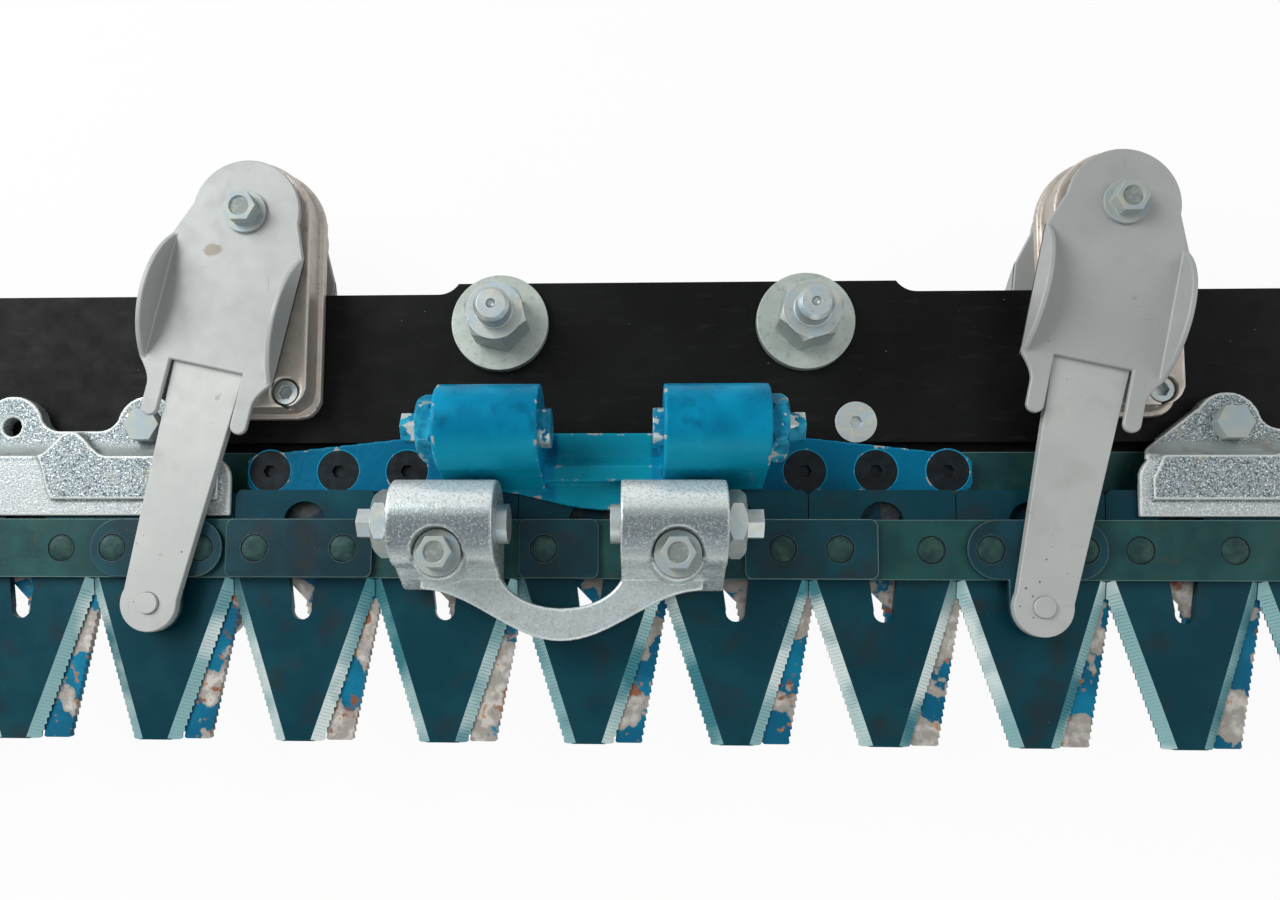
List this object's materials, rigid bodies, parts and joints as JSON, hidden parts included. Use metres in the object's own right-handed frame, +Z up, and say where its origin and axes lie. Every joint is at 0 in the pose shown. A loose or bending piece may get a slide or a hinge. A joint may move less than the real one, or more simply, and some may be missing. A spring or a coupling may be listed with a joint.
{
  "type": "sickle bar mower cutter bar",
  "caption": "Double-knife cutter bar of a sickle bar mower: serrated knives that slide past each other on swing arms, moved by two drive brackets.",
  "frame": {"origin": "Midway between the two hitch studs, on the beam's top face", "axes": "+X along the bar, to the right in the picture; +Y to the rear, away from the knife points; +Z up, out of the beam's top face"},
  "size_m": [1.0356, 0.3136, 0.108],
  "materials": {
    "beam_black": "satin black paint",
    "zinc": "zinc plated",
    "dark_screw": "black oxide",
    "block_cast": "bare casting",
    "guide_cast": "grainy zinc coated casting",
    "skid_black": "satin black paint",
    "arm_grey": "light grey, worn",
    "knife_teal": "dark teal",
    "knife_blueblack": "blue-black hardened steel",
    "blade_worn": "worn blue with rust",
    "bracket_silver": "bare casting",
    "bracket_blue": "blue paint, chipped",
    "bronze_bush": "plain bush"
  },
  "bodies": {
    "bar": {"main_beam": "beam_black", "hitch_studs": "zinc", "hitch_washers": "zinc", "hitch_nuts": "zinc", "beam_screws": "zinc", "left_pivot_block": "block_cast", "right_pivot_block": "block_cast", "pivot_block_screws": "zinc", "pivot_bushes": "bronze_bush", "pivot_bolts": "zinc", "pivot_nuts": "zinc", "left_rear_guide": "guide_cast", "right_rear_guide": "guide_cast", "rear_guide_bolts": "zinc", "left_skid_shoe": "skid_black", "right_skid_shoe": "skid_black", "skid_bolts": "zinc"},
    "upper_left_arm": {"upper_left_finger": "arm_grey", "upper_left_cover": "arm_grey", "upper_left_tip_pin": "zinc"},
    "upper_right_arm": {"upper_right_finger": "arm_grey", "upper_right_cover": "arm_grey", "upper_right_tip_pin": "zinc"},
    "lower_left_arm": {"lower_left_finger": "arm_grey", "lower_left_cover": "arm_grey", "lower_left_tip_pin": "zinc"},
    "lower_right_arm": {"lower_right_finger": "arm_grey", "lower_right_cover": "arm_grey", "lower_right_tip_pin": "zinc"},
    "upper_knife": {"upper_knife_back": "knife_teal", "upper_knife_sections": "knife_blueblack", "upper_knife_rivets": "knife_blueblack", "left_stiffening_plate": "knife_blueblack", "middle_stiffening_plate": "knife_blueblack", "right_stiffening_plate": "knife_blueblack", "upper_left_ear_plate": "knife_blueblack", "upper_right_ear_plate": "knife_blueblack", "upper_drive_bracket": "bracket_silver", "upper_bracket_bolts": "zinc", "upper_adjusting_screws": "zinc", "upper_lock_nuts": "zinc"},
    "lower_knife": {"lower_knife_back": "knife_teal", "lower_knife_sections": "blade_worn", "lower_knife_rivets": "blade_worn", "lower_left_ear_plate": "knife_blueblack", "lower_right_ear_plate": "knife_blueblack", "lower_ear_rivets": "knife_blueblack", "lower_drive_bracket": "bracket_blue", "lower_bracket_screws": "dark_screw", "lower_adjusting_screws": "zinc", "lower_lock_nuts": "zinc"}
  },
  "joints": [
    {"name": "upper_left_swing", "type": "hinge", "parent": "bar", "child": "upper_left_arm", "pos_m": [-0.2156, 0.0529, 0], "axis": [0, 0, 1], "range_deg": [-1, 26]},
    {"name": "upper_right_swing", "type": "hinge", "parent": "bar", "child": "upper_right_arm", "pos_m": [0.2416, 0.0529, 0], "axis": [0, 0, 1], "range_deg": [-1, 26]},
    {"name": "upper_knife_turn", "type": "hinge", "parent": "upper_left_arm", "child": "upper_knife", "pos_m": [-0.26112, -0.15415, 0], "axis": [0, 0, 1], "range_deg": [-26, 1]},
    {"name": "lower_left_swing", "type": "hinge", "parent": "bar", "child": "lower_left_arm", "pos_m": [-0.2156, 0.0529, 0], "axis": [0, 0, 1], "range_deg": [-6.8, 20.2]},
    {"name": "lower_right_swing", "type": "hinge", "parent": "bar", "child": "lower_right_arm", "pos_m": [0.2416, 0.0529, 0], "axis": [0, 0, 1], "range_deg": [-6.8, 20.2]},
    {"name": "lower_knife_turn", "type": "hinge", "parent": "lower_left_arm", "child": "lower_knife", "pos_m": [-0.24033, -0.15765, 0], "axis": [0, 0, 1], "range_deg": [-20.2, 6.8]}
  ],
  "couplings": [
    {"joint": "upper_right_swing", "follows": "upper_left_swing", "ratio": 1},
    {"joint": "upper_knife_turn", "follows": "upper_left_swing", "ratio": -1},
    {"joint": "lower_right_swing", "follows": "lower_left_swing", "ratio": 1},
    {"joint": "lower_knife_turn", "follows": "lower_left_swing", "ratio": -1}
  ]
}
